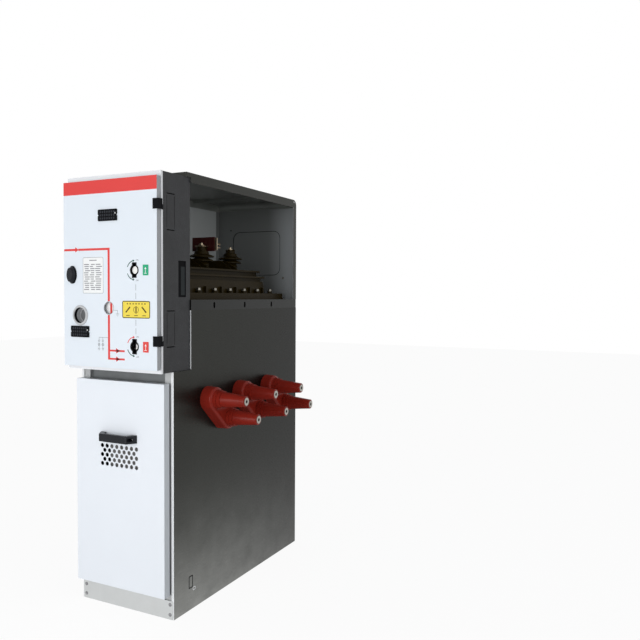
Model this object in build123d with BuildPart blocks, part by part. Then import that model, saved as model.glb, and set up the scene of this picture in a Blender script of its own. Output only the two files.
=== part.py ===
"""Gas insulated load break switch in its free-standing sheet steel cabinet.

Frame: +Z up, the front faces -Y, the side with the cone bushings faces +X.
The origin is on the floor, at the centre of the four anchor holes.
All lengths are millimetres.
"""

import math
import os

from build123d import *

os.makedirs("parts", exist_ok=True)

# Cabinet body
width = 500.0
depth = 1040.0
height = 1850.0
sheet = 2.0
seat_gap = 0.3

# Floor rails and anchors
rail_height = 50.0
rail_plate = 4.0
rail_foot = 50.0
cross_rail_foot = 25.0
anchor_end_margin = 80.0
anchor_hole_r = 7.0

# Front posts, plinth plate and lintel
post_width = 43.0
post_depth = 38.0
front_return = 13.0
plinth_height = 78.0
plinth_side_gap = 4.0
lintel_height = 70.0
lintel_set_back = 14.0

# Levels of the upper part
box_bottom_z = 1025.0
deck_rise = 295.0
deck_rail_height = 44.0
deck_seat = 12.0
box_top_drop = 19.0

# Roof and rear wall
roof_lip = 40.0
roof_bend_r = 30.0
roof_overlap = 30.0
roof_rib_height = 16.0
roof_rib_set_back = 250.0
rear_flange = 32.0
relief_size = (303.0, 242.0)
relief_corner_r = 40.0
relief_border = 16.0
relief_rise = 6.0

# Mechanism box in front of the upper part
box_proud = 75.0
box_back_set = 117.0
box_inset = 6.0
front_frame_depth = 10.0
knockout_size = (50.0, 150.0)
knockout_set_back = 66.0
knockout_low = 177.0
knockout_high = 157.0
knockout_slit = 4.0
knockout_groove = 2.4
knockout_tab = 6.0
side_slot_set = 52.0
side_slot_rise = 86.0

# Mechanism door
door_depth = 20.0
door_gap = 5.0
door_side_gap = 1.0
door_bottom_margin = 15.0
door_top_margin = 22.0
door_corner_r = 3.0

# Door hinges
hinge_height = 41.0
hinge_low = 116.0
hinge_high = 111.5
hinge_axis_out = 4.5
hinge_axis_back = 5.0
knuckle_r = 5.0
pin_r = 2.45
pin_clearance = 0.05
pin_short = 5.0
hinge_leaf = 3.0
hinge_leaf_reach = 20.0
hinge_box_leaf = 2.5
hinge_play = 1.0
knuckle_gap = 0.2

# Shafts and what the mechanism door carries
shaft_inset = 115.0
shaft_r = 13.0
shaft_set_back = 20.0
shaft_square = 13.0
shaft_socket = 18.0
shaft_cam_r = 34.0
shaft_cam_width = 22.0
main_rise = 92.0
shaft_spacing = 306.0
keyhole_r = 17.0
keyhole_reach = 26.0
keyhole_lobe = 13.0
keyhole_wall = 1.8
keyhole_tube = 12.0
indicator_size = (100.0, 47.0)
indicator_upper_x = -3.0
indicator_upper_drop = 146.0
indicator_lower_inset = 93.0
indicator_lower_rise = 145.0
indicator_proud = 5.0
indicator_deep = 16.0
indicator_wall = 6.0
indicator_lamp_r = 5.0
indicator_notch_r = 3.5
window_r = 25.0
port_inset = 94.0
port_drop = 32.0
port_r = 42.0
port_bore_r = 33.0
port_deep = 30.0
port_wall = 2.0
port_rim = 6.0
flag_size = (27.0, 42.0)
flag_offset = 58.0
lock_inset = 51.0
lock_drop = 16.0
lock_size = (46.0, 74.0)
lock_rosette_plate = 5.0
lock_knob_height = 16.0
lock_knob_inset = 3.0
lock_knob_taper = 18.0
lock_spindle_r = 5.0
lock_sleeve = 14.0

# Mechanism plates and spring
plate_thick = 3.0
plate_left = -70.0
plate_side_margin = 65.0
plate_low_margin = 47.0
plate_high_margin = 52.0
plate_set_back = 33.0
spacer_r = 8.0
spacer_margin = 18.0
arbor_r = 6.0
disc_set_back = 14.0
disc_plate = 3.0
spring_x = 40.0
spring_rise = 28.0
spring_turns = 14
spring_pitch = 15.0
spring_core_r = 15.0
spring_wire_r = 4.5
hanger_r = 6.0

# Cable door
cable_door_left_margin = 6.0
cable_door_right_margin = 18.0
cable_door_depth = 38.0
cable_door_bottom_gap = 20.0
cable_door_top_gap = 47.0
vent_hole_r = 9.0
vent_pitch_x = 26.6
vent_pitch_z = 19.2
vent_columns = 8
vent_rows = 5
vent_drop = 317.0
handle_width = 194.0
handle_reach = 42.0
handle_grip = 14.0
handle_height = 33.0
handle_foot = 26.0
handle_slope = 12.0
handle_rise = 81.0
handle_screw_r = 8.0
hook_margin = 17.0
hook_width = 20.0
hook_plate = 6.0
hook_reach = 26.0

# Poles of the switch: one deck slot and one twin bushing each
phase_pitch = 248.0
middle_phase_y = 12.0
deck_slot = (13.0, 27.0)
latch_tab = (26.0, 52.0)
latch_tab_z = 119.0
latch_groove = 3.0

# Twin cone bushings on the right side
cone_offset_y = 49.5
cone_offset_z = 46.5
cone_drop = 183.0
cone_base_r = 55.0
cone_base_depth = 55.0
cone_base_taper = 3.0
cone_base_round = 12.0
cone_steps = ((46.0, 14.0), (42.0, 16.0))
cone_root_r = 38.0
cone_tip_r = 23.0
cone_tip_round = 3.0
cone_length = 115.0
cone_stub_r = 40.0
cone_stub = 45.0
insert_r = 17.0
insert_proud = 1.5
insert_bore_r = 7.0
insert_floor = 5.0
insert_deep = 30.0

# Switch shells
flange_half_width = 195.0
flange_rear_margin = 36.0
flange_plate = 15.0
flange_corner_r = 20.0
shell_half_width = 155.0
shell_front_margin = 35.0
shell_rear_margin = 80.0
shell_corner_r = 80.0
wall_height = 61.0
wall_taper = 7.5
upper_steps = ((-20.0, 17.0), (3.0, 8.0), (-42.0, 22.0), (-23.0, 8.0))
boss_r = 12.0
boss_height = 12.0
boss_inset = 30.0
bolt_washer_r = 11.0
bolt_washer = 2.0
bolt_flat = 18.0
bolt_head = 8.0
bolts_each_side = 7
gusset = 8.0
fin = 5.0
fin_foot = 118.0
fin_crest = 46.0
fin_height = 46.0
fin_offsets = (98.0, 150.0)
lower_depth = 117.0
lower_inset = 6.0
lower_taper = 4.0
lower_round = 45.0
cup_r = 78.0
cup_depth = 70.0
pad_width = 38.0
pad_proud = 14.0
end_fin_height = 76.0
end_fin_pitch = 34.0
end_fins = 5

# Poles on top and their terminals
head_r = 24.0
head_slot = (7.0, 8.0)
pole_height = 109.0
pole_foot_r = 38.0
pole_stem_r = 28.0
shed_levels = ((38.0, 33.0), (57.0, 53.0), (61.0, 73.0), (36.0, 86.0))
shed_thick = 5.0
shed_droop = 9.0
washer_r = 15.0
washer = 4.0
stud_r = 8.0
stud = 13.0
terminal_r = 12.0
terminal = 18.0

# Busbar stub on the middle pole, on edge behind its bolt, in an insulating sleeve
bar_thick = 6.0
bar_height = 60.0
bar_rise = 15.0
bar_set_back = 33.0
bar_left_x = -73.0
bar_right_x = 67.0
strap_width = 46.0
sleeve_wall = 4.0
sleeve_right_x = 53.0
clamp_foot = 26.0
clamp_height = 38.0
clamp_plate = 3.0
clamp_bolt_r = 4.0
clamp_nut_r = 8.0

# Places that follow from the sizes above
front_y = -depth / 2
rear_y = depth / 2
side_x = width / 2
inner_x = side_x - sheet
post_inner_x = inner_x - post_width
deck_z = box_bottom_z + deck_rise
box_top_z = height - box_top_drop
roof_bottom_z = height - roof_lip
box_front_y = front_y - box_proud
box_back_y = front_y + box_back_set
side_front_y = box_front_y + front_frame_depth
box_face_x = side_x - box_inset
box_inner_x = box_face_x - sheet
door_bottom_z = box_bottom_z + door_bottom_margin
door_top_z = box_top_z - door_top_margin
door_back_y = box_front_y - door_gap
door_front_y = door_back_y - door_depth
hinge_levels = (door_bottom_z + hinge_low, door_top_z - hinge_high)
hinge_x = side_x + hinge_axis_out
hinge_y = box_front_y - hinge_axis_back
hinge_box_reach = hinge_axis_back + front_frame_depth
main_z = door_bottom_z + main_rise
earthing_z = main_z + shaft_spacing
window_z = (main_z + earthing_z) / 2
shaft_x = side_x - shaft_inset
indicator_centres = (
    (indicator_upper_x, door_top_z - indicator_upper_drop),
    (indicator_lower_inset - side_x, door_bottom_z + indicator_lower_rise),
)
port_centre = (port_inset - side_x, window_z - port_drop)
lock_centre = (lock_inset - side_x, earthing_z - lock_drop)
cable_door_width = width - cable_door_left_margin - cable_door_right_margin
cable_door_x = (cable_door_left_margin - cable_door_right_margin) / 2
cable_door_bottom = plinth_height + cable_door_bottom_gap
cable_door_top = box_bottom_z - cable_door_top_gap
cable_door_front_y = front_y - cable_door_depth
phases = [middle_phase_y + phase_pitch * i for i in (-1, 0, 1)]
cone_centre_z = box_bottom_z - cone_drop
flange_front_y = box_back_y + seat_gap
flange_rear_y = rear_y - flange_rear_margin
shell_front_y = flange_front_y + shell_front_margin
shell_rear_y = flange_rear_y - shell_rear_margin
flange_top_z = deck_z + 2 * flange_plate
shell_top_z = flange_top_z + wall_height + sum(tall for _, tall in upper_steps)
head_top_z = shell_top_z + pole_height
plate_front_y = box_front_y + plate_set_back
plate_rear_y = box_back_y - sheet - plate_thick


def block(x, y, z, mode=Mode.ADD):
    """A box between a low and a high coordinate on each axis."""
    with Locations(((x[0] + x[1]) / 2, (y[0] + y[1]) / 2, (z[0] + z[1]) / 2)):
        Box(x[1] - x[0], y[1] - y[0], z[1] - z[0], mode=mode)


def facing_front(y):
    """A drawing plane at depth y whose x runs with +X and whose y runs with +Z."""
    return Plane(origin=(0, y, 0), x_dir=(1, 0, 0), z_dir=(0, -1, 0))


def save(part, name):
    part.label = name
    export_step(part, f"parts/{name}.step")


# Floor rails: two folded angles along the sides, two across
cross_front_y = front_y + sheet + post_depth
anchor_x = inner_x - (rail_foot + rail_plate) / 2
anchor_y = rear_y - anchor_end_margin
with BuildPart() as base_rails:
    with BuildSketch(Plane.XZ.offset(-(rear_y - sheet))):
        with BuildLine():
            Polyline(
                (inner_x, 0),
                (inner_x - rail_foot, 0),
                (inner_x - rail_foot, rail_plate),
                (inner_x - rail_plate, rail_plate),
                (inner_x - rail_plate, rail_height),
                (inner_x, rail_height),
                close=True,
            )
        make_face()
    extrude(amount=depth - 2 * sheet - post_depth)
    with Locations((anchor_x, anchor_y, 0), (anchor_x, -anchor_y, 0)):
        Cylinder(anchor_hole_r, 3 * rail_plate, mode=Mode.SUBTRACT)
    mirror(about=Plane.YZ)
    with BuildSketch(Plane.YZ.offset(-(inner_x - rail_foot))):
        with BuildLine():
            Polyline(
                (rear_y - sheet, 0),
                (rear_y - sheet - rail_foot, 0),
                (rear_y - sheet - rail_foot, rail_plate),
                (rear_y - sheet - rail_plate, rail_plate),
                (rear_y - sheet - rail_plate, rail_height),
                (rear_y - sheet, rail_height),
                close=True,
            )
        make_face()
        with BuildLine():
            Polyline(
                (cross_front_y, 0),
                (cross_front_y + cross_rail_foot, 0),
                (cross_front_y + cross_rail_foot, rail_plate),
                (cross_front_y + rail_plate, rail_plate),
                (cross_front_y + rail_plate, rail_height),
                (cross_front_y, rail_height),
                close=True,
            )
        make_face()
    extrude(amount=2 * (inner_x - rail_foot))
save(base_rails.part, "base_rails")

# Front frame: two folded posts, open to the back, and the lintel over the cable door
with BuildPart() as front_frame:
    with BuildSketch(Plane.XY):
        with BuildLine():
            Polyline(
                (inner_x, front_y + sheet),
                (post_inner_x, front_y + sheet),
                (post_inner_x, front_y + sheet + post_depth),
                (post_inner_x + sheet, front_y + sheet + post_depth),
                (post_inner_x + sheet, front_y + 2 * sheet),
                (inner_x - sheet, front_y + 2 * sheet),
                (inner_x - sheet, front_y + sheet + post_depth),
                (inner_x, front_y + sheet + post_depth),
                close=True,
            )
        make_face()
    extrude(amount=box_bottom_z)
    mirror(about=Plane.YZ)
    block(
        (-post_inner_x, post_inner_x),
        (front_y + lintel_set_back, front_y + lintel_set_back + sheet),
        (box_bottom_z - lintel_height, box_bottom_z),
    )
    block(
        (-post_inner_x, post_inner_x),
        (front_y + lintel_set_back + sheet, front_y + sheet + post_depth),
        (box_bottom_z - sheet, box_bottom_z),
    )
save(front_frame.part, "front_frame")

with BuildPart() as plinth_plate:
    with BuildSketch(facing_front(front_y)):
        with Locations((0, plinth_height / 2)):
            RectangleRounded(width - 2 * plinth_side_gap, plinth_height, 2 * sheet)
    extrude(amount=sheet)
save(plinth_plate.part, "plinth_plate")


# Twin bushings: each has an upper cone to the front and a lower cone to the rear
def cone_centres(y):
    return (
        (y - cone_offset_y, cone_centre_z + cone_offset_z),
        (y + cone_offset_y, cone_centre_z - cone_offset_z),
    )


# Side sheets: notched at the top front for the mechanism box, with folded front edges
def side_sheet(right):
    with BuildPart() as body:
        with BuildSketch(Plane.YZ.offset(inner_x)):
            with BuildLine():
                Polyline(
                    (front_y, 0),
                    (rear_y, 0),
                    (rear_y, deck_z - deck_rail_height),
                    (box_back_y, deck_z - deck_rail_height),
                    (box_back_y, box_bottom_z),
                    (front_y, box_bottom_z),
                    close=True,
                )
            make_face()
        extrude(amount=sheet)
        block((side_x - front_return, inner_x), (front_y, front_y + sheet), (0, box_bottom_z))
        block(
            (side_x - front_return, inner_x),
            (box_back_y, box_back_y + sheet),
            (box_bottom_z, deck_z - deck_rail_height),
        )
        with BuildSketch(Plane.YZ.offset(side_x - sheet / 2)):
            with Locations((box_back_y - 2 * sheet, latch_tab_z)):
                RectangleRounded(*latch_tab, latch_groove)
                Rectangle(
                    latch_tab[0] - 2 * latch_groove,
                    latch_tab[1] - 2 * latch_groove,
                    mode=Mode.SUBTRACT,
                )
        extrude(amount=sheet / 2, mode=Mode.SUBTRACT)
        if right:
            with BuildSketch(Plane.YZ.offset(inner_x)):
                for y in phases:
                    with Locations(*cone_centres(y)):
                        Circle(cone_stub_r + seat_gap)
            extrude(amount=sheet, mode=Mode.SUBTRACT)
    return body.part if right else mirror(body.part, about=Plane.YZ)


save(side_sheet(True), "side_sheet_right")
save(side_sheet(False), "side_sheet_left")

# Deck: the ledges that carry the switch, with a slotted outer flange, and a rear strip
ledge_x = flange_half_width - deck_seat
with BuildPart() as deck_rails:
    with BuildSketch(Plane.XZ.offset(-(rear_y - sheet))):
        with BuildLine():
            Polyline(
                (side_x, deck_z),
                (side_x, deck_z - deck_rail_height),
                (inner_x, deck_z - deck_rail_height),
                (inner_x, deck_z - sheet),
                (ledge_x, deck_z - sheet),
                (ledge_x, deck_z),
                close=True,
            )
        make_face()
    extrude(amount=rear_y - sheet - box_back_y)
    with BuildSketch(Plane.YZ.offset(inner_x)):
        with Locations(*[(y, deck_z - deck_rail_height / 2 - sheet) for y in phases]):
            SlotOverall(deck_slot[1], deck_slot[0], rotation=90)
    extrude(amount=sheet, mode=Mode.SUBTRACT)
    mirror(about=Plane.YZ)
    block(
        (-ledge_x, ledge_x),
        (flange_rear_y + seat_gap, rear_y - sheet),
        (deck_z - sheet, deck_z),
    )
save(deck_rails.part, "deck_rails")

# Back walls
with BuildPart() as rear_wall_lower:
    block((-inner_x, inner_x), (rear_y - sheet, rear_y), (0, deck_z))
save(rear_wall_lower.part, "rear_wall_lower")

relief_z = (deck_z + roof_bottom_z) / 2 + relief_rise
with BuildPart() as rear_wall_upper:
    block((-side_x, side_x), (rear_y - sheet, rear_y), (deck_z, roof_bottom_z))
    for x in ((inner_x, side_x), (-side_x, -inner_x)):
        block(x, (rear_y - rear_flange, rear_y), (deck_z, roof_bottom_z))
    with BuildSketch(facing_front(rear_y)):
        with Locations((0, relief_z)):
            RectangleRounded(*relief_size, relief_corner_r)
    extrude(amount=sheet, mode=Mode.SUBTRACT)
save(rear_wall_upper.part, "rear_wall_upper")

with BuildPart() as relief_cover:
    with BuildSketch(facing_front(rear_y + sheet)):
        with Locations((0, relief_z)):
            RectangleRounded(
                relief_size[0] + 2 * relief_border,
                relief_size[1] + 2 * relief_border,
                relief_corner_r + relief_border,
            )
    extrude(amount=sheet)
save(relief_cover.part, "relief_cover")

# Roof: a shallow folded lid with a rolled rear edge and a stiffening rib
roof_front_y = box_back_y - roof_overlap
roof_rib_y = rear_y - roof_rib_set_back
with BuildPart() as roof_sheet:
    block((-side_x, side_x), (roof_front_y, rear_y), (roof_bottom_z, height))
    cross_edges = roof_sheet.edges().filter_by(Axis.X)
    fillet(cross_edges.sort_by(lambda e: e.center().Y + e.center().Z)[-1], roof_bend_r)
    offset(amount=-sheet, openings=roof_sheet.faces().sort_by(Axis.Z)[0])
    block(
        (-side_x, side_x),
        (roof_front_y, box_back_y),
        (roof_bottom_z, box_top_z + seat_gap),
        mode=Mode.SUBTRACT,
    )
    block(
        (-inner_x, inner_x),
        (roof_rib_y, roof_rib_y + sheet),
        (height - sheet - roof_rib_height, height - sheet),
    )
save(roof_sheet.part, "roof_sheet")

with BuildPart() as left_bay_cover:
    block((-side_x, -inner_x), (box_back_y, rear_y - rear_flange), (deck_z, roof_bottom_z))
    block(
        (-inner_x, front_return - side_x),
        (box_back_y, box_back_y + sheet),
        (deck_z, roof_bottom_z),
    )
save(left_bay_cover.part, "left_bay_cover")

# Mechanism box: a front frame, two slotted sides, a top, a bottom and a back
frame_width = width
frame_height = box_top_z - box_bottom_z
frame_z = (box_top_z + box_bottom_z) / 2
frame_opening_low = door_bottom_z + front_return
frame_opening_high = door_top_z - front_return
with BuildPart() as box_front_frame:
    with BuildSketch(facing_front(side_front_y)):
        with Locations((0, frame_z)):
            Rectangle(frame_width, frame_height)
            Rectangle(frame_width - 2 * sheet, frame_height - 2 * sheet, mode=Mode.SUBTRACT)
    extrude(amount=front_frame_depth)
    with BuildSketch(facing_front(box_front_y + sheet)):
        with Locations((0, frame_z)):
            Rectangle(frame_width, frame_height)
        with Locations((0, (frame_opening_low + frame_opening_high) / 2)):
            Rectangle(
                frame_width - 2 * front_return,
                frame_opening_high - frame_opening_low,
                mode=Mode.SUBTRACT,
            )
    extrude(amount=sheet)
    with BuildSketch(facing_front(side_front_y)):
        with Locations((0, frame_z)):
            Rectangle(frame_width, frame_height)
            Rectangle(2 * box_inner_x, frame_height - 2 * sheet, mode=Mode.SUBTRACT)
    extrude(amount=sheet)
save(box_front_frame.part, "box_front_frame")

knockout_y = box_front_y + knockout_set_back
knockout_levels = (box_bottom_z + knockout_low, box_top_z - knockout_high)


def box_side(sign):
    with BuildPart() as body:
        block((box_inner_x, box_face_x), (side_front_y, box_back_y), (box_bottom_z, box_top_z))
        with BuildSketch(Plane.YZ.offset(box_inner_x)):
            with Locations((box_back_y - side_slot_set, deck_z + side_slot_rise)):
                Rectangle(*knockout_size)
            for z in knockout_levels:
                with Locations(
                    (knockout_y, z + (knockout_size[1] - knockout_slit) / 2),
                    (knockout_y, z - (knockout_size[1] - knockout_slit) / 2),
                ):
                    Rectangle(knockout_size[0], knockout_slit)
                with Locations(
                    (knockout_y - (knockout_size[0] - knockout_groove) / 2, z),
                    (knockout_y + (knockout_size[0] - knockout_groove) / 2, z),
                ):
                    Rectangle(knockout_groove, knockout_size[1] - 2 * (knockout_slit + knockout_tab))
        extrude(amount=sheet, mode=Mode.SUBTRACT)
    return body.part if sign > 0 else mirror(body.part, about=Plane.YZ)


save(box_side(1), "box_side_right")
save(box_side(-1), "box_side_left")

with BuildPart() as box_ends:
    for z in (box_bottom_z, box_top_z - sheet):
        block((-box_inner_x, box_inner_x), (side_front_y, box_back_y), (z, z + sheet))
save(box_ends.part, "box_ends")

with BuildPart() as box_back:
    block(
        (-box_inner_x, box_inner_x),
        (box_back_y - sheet, box_back_y),
        (box_bottom_z + sheet, box_top_z - sheet),
    )
save(box_back.part, "box_back")


# Mechanism door: a folded pan with cut-outs for what it carries
def keyhole(grow=0.0):
    """The outline that lets the two lugs of the operating lever pass."""
    Circle(keyhole_r + grow)
    Rectangle(keyhole_lobe + 2 * grow, 2 * (keyhole_reach + grow))


shaft_centres = ((shaft_x, main_z), (shaft_x, earthing_z))
door_right_x = side_x - door_side_gap
with BuildPart() as mechanism_door:
    block((-door_right_x, door_right_x), (door_front_y, door_back_y), (door_bottom_z, door_top_z))
    fillet(mechanism_door.edges().filter_by(Axis.Y), door_corner_r)
    offset(amount=-sheet, openings=mechanism_door.faces().sort_by(Axis.Y)[-1])
    with BuildSketch(facing_front(door_front_y + sheet)):
        for centre in shaft_centres:
            with Locations(centre):
                keyhole(grow=keyhole_wall + seat_gap)
        with Locations((0, window_z)):
            Circle(window_r)
        with Locations(port_centre):
            Circle(port_bore_r + port_wall + seat_gap)
        with Locations(*indicator_centres):
            Rectangle(indicator_size[0] - 2 * indicator_wall, indicator_size[1] - 2 * indicator_wall)
        with Locations(lock_centre):
            Circle(2 * lock_spindle_r)
    extrude(amount=sheet, mode=Mode.SUBTRACT)
save(mechanism_door.part, "mechanism_door")

escutcheon_rim = 1.5
with BuildPart() as keyhole_escutcheons:
    for centre in shaft_centres:
        with BuildSketch(facing_front(door_front_y)):
            with Locations(centre):
                keyhole(grow=keyhole_wall + 2 * escutcheon_rim)
        extrude(amount=escutcheon_rim)
        with BuildSketch(facing_front(door_front_y + keyhole_tube)):
            with Locations(centre):
                keyhole(grow=keyhole_wall)
        extrude(amount=keyhole_tube)
        with BuildSketch(facing_front(door_front_y + keyhole_tube)):
            with Locations(centre):
                keyhole()
        extrude(amount=keyhole_tube + escutcheon_rim, mode=Mode.SUBTRACT)
save(keyhole_escutcheons.part, "keyhole_escutcheons")

with BuildPart() as voltage_indicators:
    for x, z in indicator_centres:
        with BuildSketch(facing_front(door_front_y)):
            with Locations((x, z)):
                RectangleRounded(*indicator_size, 2 * sheet)
            with Locations((x - indicator_size[0] / 2, z), (x + indicator_size[0] / 2, z)):
                Circle(indicator_notch_r, mode=Mode.SUBTRACT)
        extrude(amount=indicator_proud)
        with BuildSketch(facing_front(door_front_y + indicator_deep)):
            with Locations((x, z)):
                Rectangle(
                    indicator_size[0] - 2 * indicator_wall - sheet,
                    indicator_size[1] - 2 * indicator_wall - sheet,
                )
        extrude(amount=indicator_deep)
        with BuildSketch(facing_front(door_front_y - indicator_proud + sheet)):
            with Locations((x, z)):
                with GridLocations(indicator_size[0] / 4, indicator_size[1] / 2.6, 3, 2):
                    Circle(indicator_lamp_r)
        extrude(amount=sheet, mode=Mode.SUBTRACT)
save(voltage_indicators.part, "voltage_indicators")

port_plane = Plane(
    origin=(port_centre[0], door_front_y, port_centre[1]), x_dir=(1, 0, 0), z_dir=(0, 0, 1)
)
port_draft = 3.0
with BuildPart() as viewing_port:
    with BuildSketch(port_plane):
        with BuildLine():
            Polyline(
                (port_r, 0),
                (port_r, -port_rim / 2),
                (port_r - port_rim / 2, -port_rim),
                (port_bore_r, -port_rim),
                (port_bore_r - port_draft, port_deep - port_wall),
                (0, port_deep - port_wall),
                (0, port_deep),
                (port_bore_r - port_draft + port_wall, port_deep),
                (port_bore_r + port_wall, 0),
                close=True,
            )
        make_face()
    revolve(axis=Axis(port_plane.origin, (0, 1, 0)))
save(viewing_port.part, "viewing_port")

for name, z in (("main", main_z), ("earthing", earthing_z)):
    with BuildPart() as status_flag:
        with BuildSketch(facing_front(door_front_y)):
            with Locations((shaft_x + flag_offset, z)):
                RectangleRounded(*flag_size, sheet)
        extrude(amount=sheet)
    save(status_flag.part, f"status_flag_{name}")

with BuildPart() as lock_rosette:
    with BuildSketch(facing_front(door_front_y)):
        with Locations(lock_centre):
            Ellipse(lock_size[0] / 2, lock_size[1] / 2)
    extrude(amount=lock_rosette_plate)
    with BuildSketch(facing_front(door_front_y + lock_sleeve)):
        with Locations(lock_centre):
            Circle(2 * lock_spindle_r - seat_gap)
    extrude(amount=lock_sleeve)
    with BuildSketch(facing_front(door_front_y + lock_sleeve)):
        with Locations(lock_centre):
            Circle(lock_spindle_r)
    extrude(amount=lock_sleeve + lock_rosette_plate, mode=Mode.SUBTRACT)
save(lock_rosette.part, "lock_rosette")

lock_lever = 4.0
lock_lever_y = door_front_y + lock_sleeve + door_gap + 2 * seat_gap
with BuildPart() as lock_knob:
    with BuildSketch(facing_front(door_front_y - lock_rosette_plate - seat_gap)):
        with Locations(lock_centre):
            Ellipse(lock_size[0] / 2 - lock_knob_inset, lock_size[1] / 2 - lock_knob_inset)
    extrude(amount=lock_knob_height, taper=lock_knob_taper)
    fillet(lock_knob.faces().sort_by(Axis.Y)[0].edges(), lock_knob_inset)
    with BuildSketch(facing_front(lock_lever_y + lock_lever)):
        with Locations(lock_centre):
            Circle(lock_spindle_r - pin_clearance)
    extrude(amount=lock_lever_y + lock_lever - door_front_y + lock_rosette_plate + sheet)
    with BuildSketch(facing_front(lock_lever_y + lock_lever)):
        with Locations((lock_centre[0], lock_centre[1] - 2 * lock_spindle_r)):
            SlotOverall(7 * lock_spindle_r, 3.6 * lock_spindle_r, rotation=90)
    extrude(amount=lock_lever)
save(lock_knob.part, "lock_knob")

# Hinges: the door's leaf wraps the corner; the pin stands on the box's leaf
with BuildPart() as hinge_door_leaves:
    for z in hinge_levels:
        low, high = z - hinge_height / 2, z + hinge_height / 2
        near_y = hinge_y - knuckle_r - hinge_play
        block(
            (hinge_x - hinge_leaf_reach - knuckle_r, hinge_x + knuckle_r),
            (door_front_y - hinge_leaf, door_front_y),
            (low, high),
        )
        block(
            (door_right_x + seat_gap, hinge_x + knuckle_r),
            (door_front_y, near_y),
            (low, high),
        )
        block(
            (door_right_x + seat_gap, hinge_x + knuckle_r),
            (near_y, hinge_y),
            (z + knuckle_gap, high),
        )
        with Locations((hinge_x, hinge_y, z + knuckle_gap)):
            Cylinder(
                knuckle_r,
                hinge_height / 2 - knuckle_gap,
                align=(Align.CENTER, Align.CENTER, Align.MIN),
            )
            Cylinder(
                pin_r + pin_clearance,
                hinge_height / 2 - pin_short + hinge_play,
                align=(Align.CENTER, Align.CENTER, Align.MIN),
                mode=Mode.SUBTRACT,
            )
    fillet(hinge_door_leaves.edges().filter_by(Axis.Z).group_by(Axis.Y)[0], hinge_leaf / 2)
save(hinge_door_leaves.part, "hinge_door_leaves")

with BuildPart() as hinge_box_leaves:
    for z in hinge_levels:
        low = z - hinge_height / 2
        with Locations((hinge_x, hinge_y, low)):
            Cylinder(knuckle_r, hinge_height / 2, align=(Align.CENTER, Align.CENTER, Align.MIN))
        with Locations((hinge_x, hinge_y, z)):
            Cylinder(
                pin_r,
                hinge_height / 2 - pin_short,
                align=(Align.CENTER, Align.CENTER, Align.MIN),
            )
        block(
            (side_x, side_x + hinge_box_leaf),
            (hinge_y, hinge_y + hinge_box_reach),
            (low, z),
        )
save(hinge_box_leaves.part, "hinge_box_leaves")

# Cable door: a folded pan with the perforated field and a bow handle
vent_z = cable_door_top - vent_drop
with BuildPart() as cable_door:
    block(
        (cable_door_x - cable_door_width / 2, cable_door_x + cable_door_width / 2),
        (cable_door_front_y, front_y - door_gap),
        (cable_door_bottom, cable_door_top),
    )
    fillet(cable_door.edges().filter_by(Axis.Y), door_corner_r)
    offset(amount=-sheet, openings=cable_door.faces().sort_by(Axis.Y)[-1])
    with BuildSketch(facing_front(cable_door_front_y + sheet)):
        for row in range(vent_rows):
            columns = vent_columns - row % 2
            with Locations((cable_door_x, vent_z + (row - (vent_rows - 1) / 2) * vent_pitch_z)):
                with GridLocations(vent_pitch_x, vent_pitch_z, columns, 1):
                    Circle(vent_hole_r)
    extrude(amount=sheet, mode=Mode.SUBTRACT)
save(cable_door.part, "cable_door")

handle_z = vent_z + handle_rise
with BuildPart() as cable_door_handle:
    with BuildSketch(Plane((cable_door_x, 0, handle_z - handle_height / 2))):
        with BuildLine():
            Polyline(
                (-handle_width / 2, cable_door_front_y),
                (-handle_width / 2 + handle_slope / 3, cable_door_front_y - handle_grip),
                (-handle_width / 2 + 2 * handle_slope, cable_door_front_y - handle_reach),
                (handle_width / 2 - 2 * handle_slope, cable_door_front_y - handle_reach),
                (handle_width / 2 - handle_slope / 3, cable_door_front_y - handle_grip),
                (handle_width / 2, cable_door_front_y),
                (handle_width / 2 - handle_foot, cable_door_front_y),
                (
                    handle_width / 2 - handle_foot - handle_slope,
                    cable_door_front_y - handle_reach + handle_grip,
                ),
                (
                    -handle_width / 2 + handle_foot + handle_slope,
                    cable_door_front_y - handle_reach + handle_grip,
                ),
                (-handle_width / 2 + handle_foot, cable_door_front_y),
                close=True,
            )
        make_face()
    extrude(amount=handle_height)
    fillet(cable_door_handle.edges().filter_by(Axis.Z).sort_by(Axis.Y)[:2], handle_grip / 2)
    fillet(cable_door_handle.faces().sort_by(Axis.Y)[0].edges().filter_by(Axis.X), handle_grip / 5)
    with BuildSketch(facing_front(cable_door_front_y - handle_grip / 2)):
        with Locations((cable_door_x, handle_z)):
            with GridLocations(handle_width - handle_foot - handle_slope / 3, 0, 2, 1):
                Circle(handle_screw_r)
    extrude(amount=handle_reach, mode=Mode.SUBTRACT)
save(cable_door_handle.part, "cable_door_handle")

hook_top_z = cable_door_top - sheet - seat_gap
with BuildPart() as door_hooks:
    for side in (-1, 1):
        x = cable_door_x + side * (cable_door_width / 2 - hook_margin)
        block(
            (x - hook_width / 2, x + hook_width / 2),
            (front_y - hook_reach, front_y + sheet),
            (hook_top_z - hook_plate, hook_top_z),
        )
save(door_hooks.part, "door_hooks")


# Twin cone bushings: one cast body with two cones, on a diagonal
cone_steps_depth = sum(length for _, length in cone_steps)
cone_tip_x = side_x + cone_base_depth + cone_steps_depth + cone_length


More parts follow.
